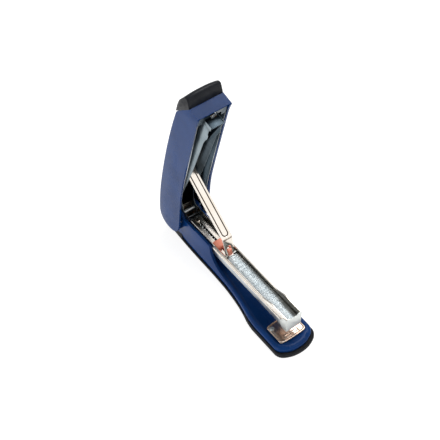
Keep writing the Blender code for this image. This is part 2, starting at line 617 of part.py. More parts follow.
def make_link(frame):
    half = LINK_THICK / 2
    end = LINK_LENGTH
    tip = Vector(TAB_TIP)
    run = (tip - Vector((end, 0))).normalized()
    across = Vector((-run.y, run.x)) * half
    bend_in = Vector((end, 0)) - across * 1.05
    strip = [(0, half), (end + 0.3, half), tuple(tip + across), tuple(tip - across),
             (bend_in.x - 0.2, -half), (0, -half)]
    link = prism("link_arm", strip, -LINK_HALF, LINK_HALF)
    join(link, rod("link_barrel", (0, -LINK_HALF + 0.01, 0), (0, LINK_HALF - 0.01, 0), 2.6, 20))
    cut(link, rod("link_bore", (0, -20, 0), (0, 20, 0), 1.3, 16))
    back = -run
    arch_top = tip + back * (ARCH_DEPTH - PRONG_INNER)
    lift = Vector((-run.y, run.x)) * 3
    arch = rod("link_arch", (*xz(arch_top - lift),), (*xz(arch_top + lift),), PRONG_INNER + 0.04, 20)
    slot_quad = [tuple(arch_top - lift), tuple(arch_top + lift), tuple(tip + lift + run * 3),
                 tuple(tip - lift + run * 3)]
    cut(link, arch, prism("link_slot", slot_quad, -PRONG_INNER, PRONG_INNER))
    shoulder = [tuple(tip + back * 15 - lift), tuple(tip + back * 15 + lift), tuple(tip + lift + run * 3),
                tuple(tip - lift + run * 3)]
    for word, low, high in (("right", -9.0, -PRONG_OUTER), ("left", PRONG_OUTER, 9.0)):
        cut(link, prism(f"tab_trim_{word}", shoulder, low, high))
    finish(link, NICKEL, frame)


def xz(point):
    return point.x, 0.0, point.y


# ---- assembly -------------------------------------------------------------------
make_base()
make_anvil()
make_hinge()
magazine_frame = empty("magazine_pivot", (HINGE_X, 0, HINGE_Z))
make_magazine(magazine_frame)
pusher_frame = empty("pusher_guide", (0, 0, 0), parent=magazine_frame)
make_pusher(pusher_frame)
handle_frame = empty("handle_pivot", (0, 0, 0), OPEN_ANGLE, magazine_frame)
make_handle(handle_frame)
link_frame = empty("link_pivot", (LINK_PIVOT[0], 0, LINK_PIVOT[1]), LINK_ANGLE - OPEN_ANGLE, handle_frame)
make_link(link_frame)
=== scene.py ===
"""Looks of a full-strip desktop stapler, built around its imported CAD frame.

Lengths are millimetres in the piece code and become metres when a piece is placed.
+X runs forward, +Y to the left, +Z up; the handle stands open over the magazine.
"""

import math
import random

import bmesh
import bpy
from mathutils import Matrix, Vector


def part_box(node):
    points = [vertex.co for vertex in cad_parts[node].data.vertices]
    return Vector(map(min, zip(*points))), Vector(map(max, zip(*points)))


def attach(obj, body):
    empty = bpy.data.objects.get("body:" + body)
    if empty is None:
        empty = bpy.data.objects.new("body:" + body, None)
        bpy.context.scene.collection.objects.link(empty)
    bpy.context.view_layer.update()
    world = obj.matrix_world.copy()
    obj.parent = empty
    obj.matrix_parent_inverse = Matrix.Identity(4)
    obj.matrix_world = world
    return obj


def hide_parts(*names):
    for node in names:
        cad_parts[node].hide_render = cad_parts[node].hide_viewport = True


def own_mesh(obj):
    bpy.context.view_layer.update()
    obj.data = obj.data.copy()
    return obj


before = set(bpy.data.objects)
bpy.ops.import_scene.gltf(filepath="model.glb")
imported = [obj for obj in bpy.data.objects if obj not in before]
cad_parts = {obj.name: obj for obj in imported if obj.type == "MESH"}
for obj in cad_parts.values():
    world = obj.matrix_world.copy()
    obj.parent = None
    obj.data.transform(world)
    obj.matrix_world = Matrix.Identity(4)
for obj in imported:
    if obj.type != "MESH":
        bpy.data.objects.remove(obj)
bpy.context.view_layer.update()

MM = 0.001
WORLD = Matrix.Scale(MM, 4)


def span(node):
    """Lowest and highest corner of a CAD node, in millimetres."""
    low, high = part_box(node)
    return low / MM, high / MM


def middle(node):
    """Centre of a CAD node's box, in millimetres."""
    low, high = span(node)
    return (low + high) / 2


def turned(pivot, degrees):
    """Placement of a group whose X axis stands that many degrees above the horizon."""
    return WORLD @ Matrix.Translation(pivot) @ Matrix.Rotation(-math.radians(degrees), 4, "Y")


def aimed(axis):
    """Turn that takes the Z axis to this direction."""
    return Vector((0, 0, 1)).rotation_difference(Vector(axis)).to_matrix().to_4x4()


HANDLE_OPEN = 77.0
LINK_SLOPE = -36.6
HANDLE = turned(middle("hinge_pin"), HANDLE_OPEN)
LINK = turned(middle("link_pin"), LINK_SLOPE)


# ---- finishes -------------------------------------------------------------------
def add(tree, kind, values=None, **settings):
    """New node with its settings; values fill its sockets, and a socket value is linked."""
    made = tree.nodes.new(kind)
    for key, value in settings.items():
        setattr(made, key, value)
    for key, value in (values or {}).items():
        if isinstance(value, bpy.types.NodeSocket):
            tree.links.new(value, made.inputs[key])
        else:
            made.inputs[key].default_value = value
    return made


def effect(name, inputs, outputs):
    """Empty node group with named number inputs and outputs."""
    tree = bpy.data.node_groups.new(name, "ShaderNodeTree")
    for label, value in inputs.items():
        socket = tree.interface.new_socket(label, in_out="INPUT", socket_type="NodeSocketFloat")
        socket.default_value = value
    for label in outputs:
        tree.interface.new_socket(label, in_out="OUTPUT", socket_type="NodeSocketFloat")
    return tree, tree.nodes.new("NodeGroupInput"), tree.nodes.new("NodeGroupOutput")


def cloud_effect():
    """Slow, uneven clouds between two values: handling, dust and uneven polish."""
    tree, given, result = effect("clouds", {"Scale": 60.0, "Low": 0.0, "High": 1.0}, ["Value"])
    place = add(tree, "ShaderNodeTexCoord").outputs["Object"]
    noise = add(tree, "ShaderNodeTexNoise", {
        "Vector": place, "Scale": given.outputs["Scale"], "Detail": 5.0, "Roughness": 0.62})
    spread = add(tree, "ShaderNodeMapRange", {
        "Value": noise.outputs["Fac"], "From Min": 0.36, "From Max": 0.66,
        "To Min": given.outputs["Low"], "To Max": given.outputs["High"]})
    tree.links.new(spread.outputs["Result"], result.inputs["Value"])
    return tree


def grain_effect():
    """Fine moulded grain as a height, with a few soft pits."""
    tree, given, result = effect("grain", {"Scale": 2500.0, "Pits": 0.3}, ["Height"])
    place = add(tree, "ShaderNodeTexCoord").outputs["Object"]
    noise = add(tree, "ShaderNodeTexNoise", {
        "Vector": place, "Scale": given.outputs["Scale"], "Detail": 3.0})
    cells = add(tree, "ShaderNodeTexVoronoi", {"Vector": place, "Scale": given.outputs["Scale"]})
    pits = add(tree, "ShaderNodeMath", {0: cells.outputs["Distance"], 1: given.outputs["Pits"]},
               operation="MULTIPLY")
    total = add(tree, "ShaderNodeMath", {0: noise.outputs["Fac"], 1: pits.outputs[0]}, operation="ADD")
    tree.links.new(total.outputs[0], result.inputs["Height"])
    return tree


def brush_effect():
    """Fine straight rolling marks along X, as a height and as a wear mask."""
    tree, given, result = effect("rolling_marks", {"Along": 60.0, "Across": 3000.0}, ["Height", "Mask"])
    place = add(tree, "ShaderNodeTexCoord").outputs["Object"]
    ratio = add(tree, "ShaderNodeCombineXYZ", {
        "X": given.outputs["Along"], "Y": given.outputs["Across"], "Z": given.outputs["Across"]})
    pulled = add(tree, "ShaderNodeVectorMath", {0: place, 1: ratio.outputs[0]}, operation="MULTIPLY")
    noise = add(tree, "ShaderNodeTexNoise", {"Vector": pulled.outputs[0], "Scale": 1.0, "Detail": 4.0})
    mask = add(tree, "ShaderNodeMapRange", {
        "Value": noise.outputs["Fac"], "From Min": 0.42, "From Max": 0.62})
    tree.links.new(noise.outputs["Fac"], result.inputs["Height"])
    tree.links.new(mask.outputs["Result"], result.inputs["Mask"])
    return tree


def wear_effect():
    """Mask of rubbed outer edges, broken up by noise."""
    tree, given, result = effect("edge_rub", {"Scale": 300.0, "Amount": 0.5}, ["Mask"])
    place = add(tree, "ShaderNodeTexCoord").outputs["Object"]
    edge = add(tree, "ShaderNodeNewGeometry").outputs["Pointiness"]
    raised = add(tree, "ShaderNodeMapRange", {"Value": edge, "From Min": 0.52, "From Max": 0.62})
    noise = add(tree, "ShaderNodeTexNoise", {
        "Vector": place, "Scale": given.outputs["Scale"], "Detail": 4.0})
    broken = add(tree, "ShaderNodeMath", {0: raised.outputs["Result"], 1: noise.outputs["Fac"]},
                 operation="MULTIPLY")
    scaled = add(tree, "ShaderNodeMath", {0: broken.outputs[0], 1: given.outputs["Amount"]},
                 operation="MULTIPLY", use_clamp=True)
    tree.links.new(scaled.outputs[0], result.inputs["Mask"])
    return tree


def painted_crease_shade_effect():
    """One on open surface, falling to nothing in a pressed groove, where painted shade darkens the
    colour.
    """
    tree, given, result = effect("crease_shade_mask", {"Reach": 0.04}, ["Open"])
    edge = add(tree, "ShaderNodeNewGeometry").outputs["Pointiness"]
    nearly_flat = 0.495
    start = add(tree, "ShaderNodeMath", {0: nearly_flat, 1: given.outputs["Reach"]}, operation="SUBTRACT")
    depth = add(tree, "ShaderNodeMapRange", {
        "Value": edge, "From Min": start.outputs[0], "From Max": nearly_flat})
    tree.links.new(depth.outputs["Result"], result.inputs["Open"])
    return tree


CLOUDS = cloud_effect()
GRAIN = grain_effect()
MARKS = brush_effect()
RUB = wear_effect()
# Mask for the painted shade laid into creases.
SHADE_IN_CREASES = painted_crease_shade_effect()
# Colour of the painted shade in creases.
CREASE_SHADE_COLOUR = (0.07, 0.04, 0.025)


def use(tree, effect_tree, **values):
    """Outputs of an effect placed in a material with its own values."""
    made = tree.nodes.new("ShaderNodeGroup")
    made.node_tree = effect_tree
    for key, value in values.items():
        made.inputs[key].default_value = value
    return made.outputs


def finish(name, **constants):
    """New material and its shader, with the values that are the same all over it."""
    look = bpy.data.materials.new(name)
    look.use_nodes = True
    shader = look.node_tree.nodes["Principled BSDF"]
    for key, value in constants.items():
        shader.inputs[key.replace("_", " ")].default_value = value
    return look, look.node_tree, shader


def tint(tree, shader, dark, light, amount):
    """Base colour moving between two shades."""
    if not isinstance(light, bpy.types.NodeSocket):
        light = (*light, 1.0)
    mix = add(tree, "ShaderNodeMix", {0: amount, 6: (*dark, 1.0), 7: light}, data_type="RGBA")
    tree.links.new(mix.outputs[2], shader.inputs["Base Color"])


def emboss(tree, shader, height, depth):
    """Surface relief, depth in millimetres."""
    bump = add(tree, "ShaderNodeBump", {"Height": height, "Distance": depth * MM, "Strength": 1.0})
    tree.links.new(bump.outputs["Normal"], shader.inputs["Normal"])


def moulded(name, dark, light, rough, grain_depth, grain_scale=2500.0, cloud_scale=45.0, gloss_level=0.5):
    """Moulded plastic or rubber: two close shades, uneven gloss and a fine grain."""
    look, tree, shader = finish(name, Specular_IOR_Level=gloss_level)
    tint(tree, shader, dark, light, use(tree, CLOUDS, Scale=cloud_scale, Low=0.0, High=1.0)["Value"])
    gloss = use(tree, CLOUDS, Scale=cloud_scale * 3.0, Low=rough[0], High=rough[1])["Value"]
    rub = use(tree, RUB, Scale=400.0, Amount=0.25)["Mask"]
    total = add(tree, "ShaderNodeMath", {0: gloss, 1: rub}, operation="ADD", use_clamp=True)
    tree.links.new(total.outputs[0], shader.inputs["Roughness"])
    emboss(tree, shader, use(tree, GRAIN, Scale=grain_scale, Pits=0.3)["Height"], grain_depth)
    return look


def plated(name, dark, light, rough, relief=0.004, cloud_scale=70.0, marking=(40.0, 2600.0)):
    """Plated or bare sheet steel: rolling marks, smudges, brighter rubbed edges and painted shade in its
    creases.
    """
    look, tree, shader = finish(name, Metallic=1.0)
    marks = use(tree, MARKS, Along=marking[0], Across=marking[1])
    smudge = use(tree, CLOUDS, Scale=cloud_scale, Low=0.0, High=1.0)["Value"]
    streaks = add(tree, "ShaderNodeMath", {0: marks["Mask"], 1: 0.35}, operation="MULTIPLY")
    blend = add(tree, "ShaderNodeMath", {0: smudge, 1: 0.6, 2: streaks.outputs[0]},
                operation="MULTIPLY_ADD")
    worn = add(tree, "ShaderNodeMix", {0: blend.outputs[0], 6: (*dark, 1.0), 7: (*light, 1.0)},
               data_type="RGBA").outputs[2]
    # Where the surface creases inward the colour falls to the painted crease shade.
    tint(tree, shader, CREASE_SHADE_COLOUR, worn, use(tree, SHADE_IN_CREASES, Reach=0.05)["Open"])
    gloss = add(tree, "ShaderNodeMapRange", {"Value": smudge, "To Min": rough[0], "To Max": rough[1]})
    rub = use(tree, RUB, Scale=500.0, Amount=0.2)["Mask"]
    total = add(tree, "ShaderNodeMath", {0: gloss.outputs["Result"], 1: rub}, operation="ADD",
                use_clamp=True)
    tree.links.new(total.outputs[0], shader.inputs["Roughness"])
    emboss(tree, shader, marks["Height"], relief)
    return look


SHELL_BLUE = moulded("shell_blue", (0.0035, 0.030, 0.125), (0.006, 0.041, 0.165), (0.13, 0.24), 0.002,
                     gloss_level=0.11)
SOLE_RUBBER = moulded("sole_rubber", (0.005, 0.006, 0.008), (0.012, 0.013, 0.016), (0.45, 0.6), 0.03,
                      grain_scale=1500.0, gloss_level=0.16)
CAP_RUBBER = moulded("cap_rubber", (0.006, 0.007, 0.010), (0.016, 0.018, 0.023), (0.3, 0.48), 0.02,
                     cloud_scale=110.0, gloss_level=0.2)
SALMON = moulded("salmon_plastic", (0.95, 0.30, 0.19), (1.0, 0.40, 0.27), (0.35, 0.5), 0.006)
NICKEL = plated("bright_nickel", (0.76, 0.69, 0.60), (0.88, 0.84, 0.78), (0.12, 0.24))
PALE_STEEL = plated("pale_steel", (0.20, 0.25, 0.28), (0.38, 0.44, 0.47), (0.24, 0.36))
SATIN = plated("satin_nickel", (0.66, 0.68, 0.66), (0.78, 0.80, 0.77), (0.38, 0.5))
STEEL = plated("plain_steel", (0.46, 0.50, 0.52), (0.68, 0.71, 0.72), (0.22, 0.36))
DARK_STEEL = plated("dark_steel", (0.040, 0.058, 0.072), (0.095, 0.125, 0.15), (0.26, 0.4))
# Darker brownish steel for the magazine's inner wall faces, as painted shade.
SHADED_INNER_STEEL = plated("painted_shade_inner_steel", (0.16, 0.13, 0.105), (0.46, 0.38, 0.32), (0.22, 0.36))
# Bright nickel whose copper-brown clouds are a painted reflection.
STRIKING_PAINTED_REFLECTION = plated("striking_plate_nickel_painted_reflection", (0.46, 0.30, 0.22), (0.88, 0.78, 0.68), (0.07, 0.16),
                  relief=0.002, cloud_scale=35.0)
# Dark brown painted shade for the link's pressed groove and the line at its bend.
GROOVE_SHADE = plated("groove_shadow", (0.10, 0.06, 0.04), (0.22, 0.14, 0.10), (0.3, 0.45))
WIRE = plated("staple_wire", (0.24, 0.28, 0.30), (0.54, 0.58, 0.59), (0.24, 0.34), relief=0.012,
              cloud_scale=60.0, marking=(520.0, 6.0))

CAD_FINISH = {
    "anvil_screw_right": STEEL, "anvil_screw_left": STEEL, "anvil_plate": NICKEL, "anvil_die": STEEL,
    "hinge_pin": STEEL, "lift_spring": STEEL, "magazine_channel": STEEL, "magazine_cover": NICKEL,
    "front_plate": NICKEL, "front_rivet_right": NICKEL, "front_rivet_left": NICKEL, "staple_core": NICKEL,
    "core_rivet": NICKEL, "staple_strip": WIRE, "spring_rod": STEEL, "pusher_spring": STEEL,
    "pusher_block": SALMON, "pusher_plate": NICKEL, "handle_cover": SHELL_BLUE, "nose_cap": CAP_RUBBER,
    "lever_channel": DARK_STEEL, "nose_screw": STEEL, "driver_frame": STEEL, "driver_blade": STEEL,
    "blade_rivet_right": STEEL, "blade_rivet_left": STEEL, "link_pin": STEEL, "lever_spring": STEEL,
    "link_arm": NICKEL, "base_shell": SHELL_BLUE, "sole_pad": SOLE_RUBBER,
}
for label, look in CAD_FINISH.items():
    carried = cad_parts[label]
    carried.data.materials.clear()
    carried.data.materials.append(look)


# ---- shaping --------------------------------------------------------------------
def spot(view, a, b, depth):
    """Point of a drawing: side is X and Z, plan is X and Y, front is Y and Z."""
    if view == "side":
        return Vector((a, depth, b))
    if view == "plan":
        return Vector((a, b, depth))
    return Vector((depth, a, b))


def moved(geometry):
    """Vertices among the parts that an operator gave back."""
    return [g for g in geometry if isinstance(g, bmesh.types.BMVert)]


def draw(bm, corners, view, depth, steps):
    """Flat face through drawn corners; a corner's third number is how far back it is rounded."""
    verts = [bm.verts.new(spot(view, corner[0], corner[1], depth)) for corner in corners]
    bm.faces.new(verts)
    for vert, corner in zip(verts, corners):
        if len(corner) > 2:
            bmesh.ops.bevel(bm, geom=[vert], offset=corner[2], offset_type="OFFSET", segments=steps,
                            profile=0.5, affect="VERTICES", material=-1, clamp_overlap=True)


def slab(corners, low, high, view="side", steps=5):
    """Closed plate between two depths of its drawing."""
    bm = bmesh.new()
    draw(bm, corners, view, low, steps)
    grown = bmesh.ops.extrude_face_region(bm, geom=bm.faces[:])["geom"]
    bmesh.ops.translate(bm, verts=moved(grown), vec=spot(view, 0, 0, high - low))
    bmesh.ops.recalc_face_normals(bm, faces=bm.faces)
    return bm


def stacked(plan, *levels):
    """Closed body through outlines of one plan; each level is (inset, height), and heights differ."""
    bm = bmesh.new()
    rings, lids = [], []
    for inset, height in levels:
        old_edges, old_faces = set(bm.edges), set(bm.faces)
        draw(bm, plan(inset), "plan", height, 5)
        rings.append([e for e in bm.edges if e not in old_edges])
        lids.append([f for f in bm.faces if f not in old_faces])
    for lid in lids[1:-1]:
        bmesh.ops.delete(bm, geom=lid, context="FACES_ONLY")
    for lower, upper in zip(rings, rings[1:]):
        bmesh.ops.bridge_loops(bm, edges=lower + upper)
    bmesh.ops.recalc_face_normals(bm, faces=bm.faces)
    return bm


def tube(start, end, radius, sides):
    """Solid round bar between two points."""
    bm = bmesh.new()
    axis = Vector(end) - Vector(start)
    bmesh.ops.create_cone(bm, cap_ends=True, segments=sides, radius1=radius, radius2=radius,
                          depth=axis.length)
    bm.transform(Matrix.Translation((Vector(start) + Vector(end)) / 2) @ aimed(axis))
    return bm


def together(*parts):
    """One bmesh from several."""
    whole = bmesh.new()
    for part in parts:
        holder = bpy.data.meshes.new("part")
        part.to_mesh(holder)
        part.free()
        whole.from_mesh(holder)
        bpy.data.meshes.remove(holder)
    return whole


def rounded(bm, width, segments, where=None):
    """Bevel the sharp edges, or those of them whose middle passes the test."""
    edges = []
    for edge in bm.edges:
        if not edge.is_manifold or edge.calc_face_angle(0.0) < math.radians(35.0):
            continue
        if where is None or where((edge.verts[0].co + edge.verts[1].co) / 2):
            edges.append(edge)
    bmesh.ops.bevel(bm, geom=edges, offset=width, offset_type="OFFSET", segments=segments, profile=0.5,
                    affect="EDGES", material=-1, clamp_overlap=True)
    return bm


def facing(bm, direction, limit=0.99):
    """Faces that look this way; the limit is the cosine of how far they may lean."""
    bm.normal_update()
    return [f for f in bm.faces if f.normal.dot(Vector(direction)) > limit]


def terrace(bm, faces, *steps):
    """Inset a region again and again; each step is (inset, rise)."""
    for inset, rise in steps:
        bmesh.ops.inset_region(bm, faces=faces, thickness=inset, depth=rise, use_even_offset=True,
                               use_boundary=True)


def open_up(bm, faces):
    """Leave a sheet where there was a solid."""
    bmesh.ops.delete(bm, geom=faces, context="FACES")


def score(bm, point, normal, **settings):
    """Cut a line of edges where a plane crosses the shape."""
    return bmesh.ops.bisect_plane(bm, geom=bm.verts[:] + bm.edges[:] + bm.faces[:], plane_co=point,
                                  plane_no=normal, **settings)["geom_cut"]


def to_side(sign, near, far):
    """Two depths, mirrored to the right for -1 and kept on the left for 1, in rising order."""
    return sorted((sign * near, sign * far))


def piece(name, bm, body, look, slot, *stands_for, place=WORLD, crease=32.0):
    """Place the shape, give it its finish and let it ride on its body."""
    bm.transform(place)
    mesh = bpy.data.meshes.new(name)
    bm.to_mesh(mesh)
    bm.free()
    mesh.materials.append(look)
    mesh.shade_smooth()
    mesh.set_sharp_from_angle(angle=math.radians(crease))
    obj = bpy.data.objects.new(name, mesh)
    bpy.context.scene.collection.objects.link(obj)
    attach(obj, body)
    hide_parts(*stands_for)
    return obj


def thicken(obj, wall, rim=0, inside=0):
    """Give a bent sheet its wall, inwards; rim and inside pick the finish of those faces."""
    step = obj.modifiers.new("wall", "SOLIDIFY")
    step.thickness = wall * MM
    step.offset = -1.0
    step.use_even_offset = True
    step.material_offset_rim = rim
    step.material_offset = inside
    return obj


def dome(centre, axis, radius, height):
    """Low round rivet head."""
    bm = bmesh.new()
    bmesh.ops.create_uvsphere(bm, u_segments=24, v_segments=12, radius=1.0)
    squat = Matrix.Diagonal((radius, radius, height, 1.0))
    bm.transform(Matrix.Translation(centre) @ aimed(axis) @ squat)
    return bm


def coil(start, end, radius, wire, turns):
    """Round wire wound in a helix from start to end."""
    bm = bmesh.new()
    axis = Vector(end) - Vector(start)
    bmesh.ops.create_circle(bm, cap_ends=True, segments=10, radius=wire)
    bm.transform(Matrix.Translation((radius, 0, wire)) @ Matrix.Rotation(math.pi / 2, 4, "X"))
    steps = turns * 20
    rise = (axis.length - 2 * wire) / steps
    bmesh.ops.spin(bm, geom=bm.verts[:] + bm.edges[:] + bm.faces[:], cent=(0, 0, 0), axis=(0, 0, 1),
                   dvec=(0, 0, rise), angle=2 * math.pi * turns, steps=steps, use_merge=False)
    bmesh.ops.recalc_face_normals(bm, faces=bm.faces)
    bm.transform(Matrix.Translation(start) @ aimed(axis))
    return bm


def half_disc(radius, height, gap):
    """Half of a screw head, on one side of its slot."""
    bm = rounded(tube((0, 0, 0), (0, 0, height), radius, 32), height * 0.5, 3,
                 lambda m: m.z > height * 0.9)
    cut = score(bm, (gap, 0, 0), (1, 0, 0), clear_inner=True)
    bmesh.ops.edgeloop_fill(bm, edges=[e for e in cut if isinstance(e, bmesh.types.BMEdge)])
    return bm


def slotted_head(seat, radius, height, gap, turn):
    """Screw head with a straight slot, standing on its seat along Z."""
    other = half_disc(radius, height, gap)
    other.transform(Matrix.Rotation(math.pi, 4, "Z"))
    slot_floor = tube((0, 0, 0), (0, 0, height * 0.45), radius * 0.9, 32)
    head = together(half_disc(radius, height, gap), other, slot_floor)
    head.transform(Matrix.Translation(seat) @ Matrix.Rotation(math.radians(turn), 4, "Z"))
    return head


def ease(obj, width):
    """Take the sharpness off a finished piece's edges."""
    step = obj.modifiers.new("eased_edges", "BEVEL")
    step.width = width * MM
    step.segments = 2
    step.limit_method = "ANGLE"
    step.angle_limit = math.radians(40.0)
    step.harden_normals = True


# ---- base -----------------------------------------------------------------------
SOLE_TOP = span("sole_pad")[0].z + 2.7
BASE_TOP = 9.3
CHEEK_OUT, CHEEK_IN, CHEEK_FOOT = 10.4, 7.9, 8.0


def base_plan(inset, front=None, back=0.0):
    """Plan of the base, slim behind and wide at the pad; it may stop short or be set back in front."""
    rear, toe, slim = -174.0, 13.9, inset + 0.35 * back
    half = [(rear + inset, 10.0 - slim, 4.0), (-133.0, 12.0 - slim, 16.0), (-97.0, 12.0 - slim, 12.0),
            (-71.0, 13.0 - slim, 10.0), (-49.0, 16.4 - inset - 0.2 * back, 7.0),
            (-34.0, 20.8 - inset - 0.4 * back, 7.0), (6.5 - back, 20.7 - inset - 0.4 * back, 4.5)]
    if front is None:
        half += [(11.4 - inset - back, 13.5 - inset - 0.4 * back, 4.0), (toe - inset - back, 5.0, 4.0)]
    else:
        half = [c for c in half if c[0] < front] + [(front, 11.4 - inset)]
    return half + [(x, -y, *cut) for x, y, *cut in reversed(half)]


def cheek_drawing():
    """Side view of a hinge cheek: horn over the hinge, level top, and a long foot in front."""
    foot, top = CHEEK_FOOT, 32.2
    return [(-154.0, foot), (-156.0, 16.0, 3), (-159.5, 24.0, 3), (-160.5, 30.0, 2.5), (-157.0, 36.2, 3),
            (-149.0, 36.6, 2.5), (-144.5, top - 0.8, 2), (-127.6, top - 0.8), (-127.0, top),
            (-105.8, top, 0.6), (-103.0, 21.0, 5), (-95.0, 12.6, 5), (-82.0, 9.1, 6), (-70.0, foot)]


def cheek(side):
    """Upright cheek whose outer face sweeps out into the flange of the base."""
    bm = slab(cheek_drawing(), side * CHEEK_IN, side * CHEEK_OUT)
    flare_top, flare_out = 20.0, 0.7
    for height in (flare_top, 18, 16, 14.5, 13.2, 12.0, 11.0, 10.0, 9.3, 8.7):
        score(bm, (0, 0, height), (0, 0, 1))
    for vert in bm.verts:
        drop = (flare_top - vert.co.z) / (flare_top - CHEEK_FOOT)
        if drop > 0 and abs(vert.co.y) > CHEEK_OUT - 0.1:
            vert.co.y += side * flare_out * drop ** 2.2
    return rounded(bm, 0.55, 3, lambda m: abs(m.y) > CHEEK_OUT - 0.2)


def make_base():
    """Blue shell with its two cheeks, in a rubber sole that rises into a lip and a heel."""
    foot = SOLE_TOP + 0.3

    def shell_plan(inset):
        """The shell stands back from the sole's rubber lip."""
        return base_plan(inset, back=2.4 + 0.9 * inset)

    shell = stacked(shell_plan, (0.6, foot), (0.4, foot + 0.3), (0.3, 6.6), (0.5, 7.6), (0.9, 8.3),
                    (1.4, 8.9), (2.0, 9.25), (2.5, BASE_TOP), (3.0, 9.1), (3.4, 8.7), (4.0, 8.4),
                    (5.0, 8.3))
    piece("base_body", together(shell, cheek(-1), cheek(1)), "base", SHELL_BLUE, "blue_shell",
          "base_shell", crease=50)

    sole = stacked(base_plan, (4.0, 0.3), (3.2, 0.02), (0.6, 0.0), (0.1, 0.4), (0.0, 1.2),
                   (0.15, SOLE_TOP - 0.3), (0.4, SOLE_TOP))

    def lip_plan(inset):
        """The lip runs round the wide front only."""
        return [(x, y, *cut) for x, y, *cut in base_plan(inset) if x > -50.0]

    lip = stacked(lip_plan, (0.3, SOLE_TOP - 0.2), (0.1, SOLE_TOP + 0.4), (0.2, SOLE_TOP + 1.2),
                  (0.6, SOLE_TOP + 1.7), (1.3, SOLE_TOP + 1.8), (1.5, SOLE_TOP + 1.2))

    def heel_plan(inset):
        """The heel ends square, part of the way under the cheeks."""
        return base_plan(inset, front=-146.0)

    heel = stacked(heel_plan, (0.2, 1.0), (0.0, 1.6), (0.1, 8.2), (0.4, 8.9), (1.1, BASE_TOP),
                   (3.2, BASE_TOP - 0.02), (3.8, 8.0), (4.0, SOLE_TOP))
    piece("sole_rubber", together(sole, lip, heel), "base", SOLE_RUBBER, "soft_black", "sole_pad",
          crease=50)


make_base()


# ---- handle ---------------------------------------------------------------------
COVER_HALF = span("handle_cover")[1].y
CAP_LOW, CAP_HIGH = (160.3, 9.2), (141.3, 23.2)


def cover_drawing():
    """Side view of the handle cover, in the handle's own frame."""
    return [CAP_LOW, (*CAP_HIGH, 3), (118, 25.2, 10), (88, 26.3, 12), (52, 26.2, 14), (20, 24.6, 9),
            (0, 22.0, 6), (-12, 19.8, 3.5), (-19, 16, 3.5), (-22.3, 9, 3.4), (-21.2, 2, 2.4),
            (-19.2, -3, 2), (-14.5, -7.6, 3), (-6.0, -9.0, 4), (18.8, -5.6, 10), (42, -1.9, 10),
            (70, -1.3, 10), (150, -1.4, 4), (160.1, -2.9, 0.8)]


def make_handle():
    """Blue cover with its rubber grip cap, and the dark steel lever tray inside it."""
    cover = slab(cover_drawing(), -COVER_HALF, COVER_HALF)
    rounded(cover, 1.7, 5, lambda m: abs(m.y) > COVER_HALF - 0.1 and (m.z > 1.5 or m.x > 158.5))
    along_rim = [f for f in facing(cover, (0, 0, -1), 0.75) if f.calc_center_median().z < 0]
    open_up(cover, along_rim)
    ease(thicken(piece("handle_shell", cover, "handle", SHELL_BLUE, "blue_shell", "handle_cover",
                       place=HANDLE, crease=40), 1.8), 0.3)

    slope = Vector((CAP_LOW[0] - CAP_HIGH[0], CAP_LOW[1] - CAP_HIGH[1])).normalized()
    seam = 0.3
    lift = Vector((-slope.y, slope.x)) * seam
    low, high = Vector(CAP_LOW) + lift, Vector(CAP_HIGH) + lift
    cap = slab([tuple(low), (166.2, 11.4, 1.8), (170.3, 14.3, 1.4), (169.4, 18.0, 2.4), (156.5, 23.3, 7),
                (high.x - 0.5, 24.0, 0.5), tuple(high)], -COVER_HALF, COVER_HALF)
    for y in (-15.5, -14, -12, -9, -5, 0, 5, 9, 12, 14, 15.5):
        score(cap, (0, y, 0), (0, 1, 0))
    bow = 2.6
    for vert in cap.verts:
        reach = max(0.0, min(1.0, (vert.co.x - 158.0) / 8.0))
        vert.co.x -= bow * reach * abs(vert.co.y / COVER_HALF) ** 2.6
    rounded(cap, 1.5, 4, lambda m: abs(m.y) > COVER_HALF - 0.1)
    piece("grip_cap", cap, "handle", CAP_RUBBER, "soft_black", "nose_cap", place=HANDLE, crease=45)

    lever_half = span("lever_channel")[1].y
    lever = slab([(149.6, -0.9), (149.6, 13.4, 1), (140.6, 20.1, 2), (118, 22.6, 8), (60, 23.5, 10),
                  (20, 21.9, 8), (2, 19.4, 4), (-6, 14, 3), (-9, 6, 3), (-9, -3, 3), (-4, -6.6, 2.5),
                  (6, -6.0, 3), (18, -3.6, 6), (42, -0.8, 8)], -lever_half, lever_half)
    rounded(lever, 1.0, 3, lambda m: abs(m.y) > lever_half - 0.1 and m.z > 3)
    open_up(lever, [f for f in facing(lever, (0, 0, -1), 0.6) if f.calc_center_median().z < 3]
            + [f for f in facing(lever, (1, 0, 0), 0.9) if f.calc_center_median().x > 149])
    tray = piece("lever_tray", lever, "handle", DARK_STEEL, "dark_steel", "lever_channel", place=HANDLE,
                 crease=40)
    # The tray's rim faces take lighter plain steel as painted highlight lines.
    tray.data.materials.append(STEEL)
    thicken(tray, 0.9, rim=1)
    strap = slab([(147.5, -14.4), (158.0, -14.4, 1), (158.0, 14.4, 1), (147.5, 14.4), (147.5, 9.2, 0.5),
                  (152.2, 9.2, 1.5), (152.2, -9.2, 1.5), (147.5, -9.2, 0.5)], -0.9, -0.1, "plan")
    piece("lever_strap", rounded(strap, 0.12, 2), "handle", DARK_STEEL, "dark_steel", place=HANDLE)


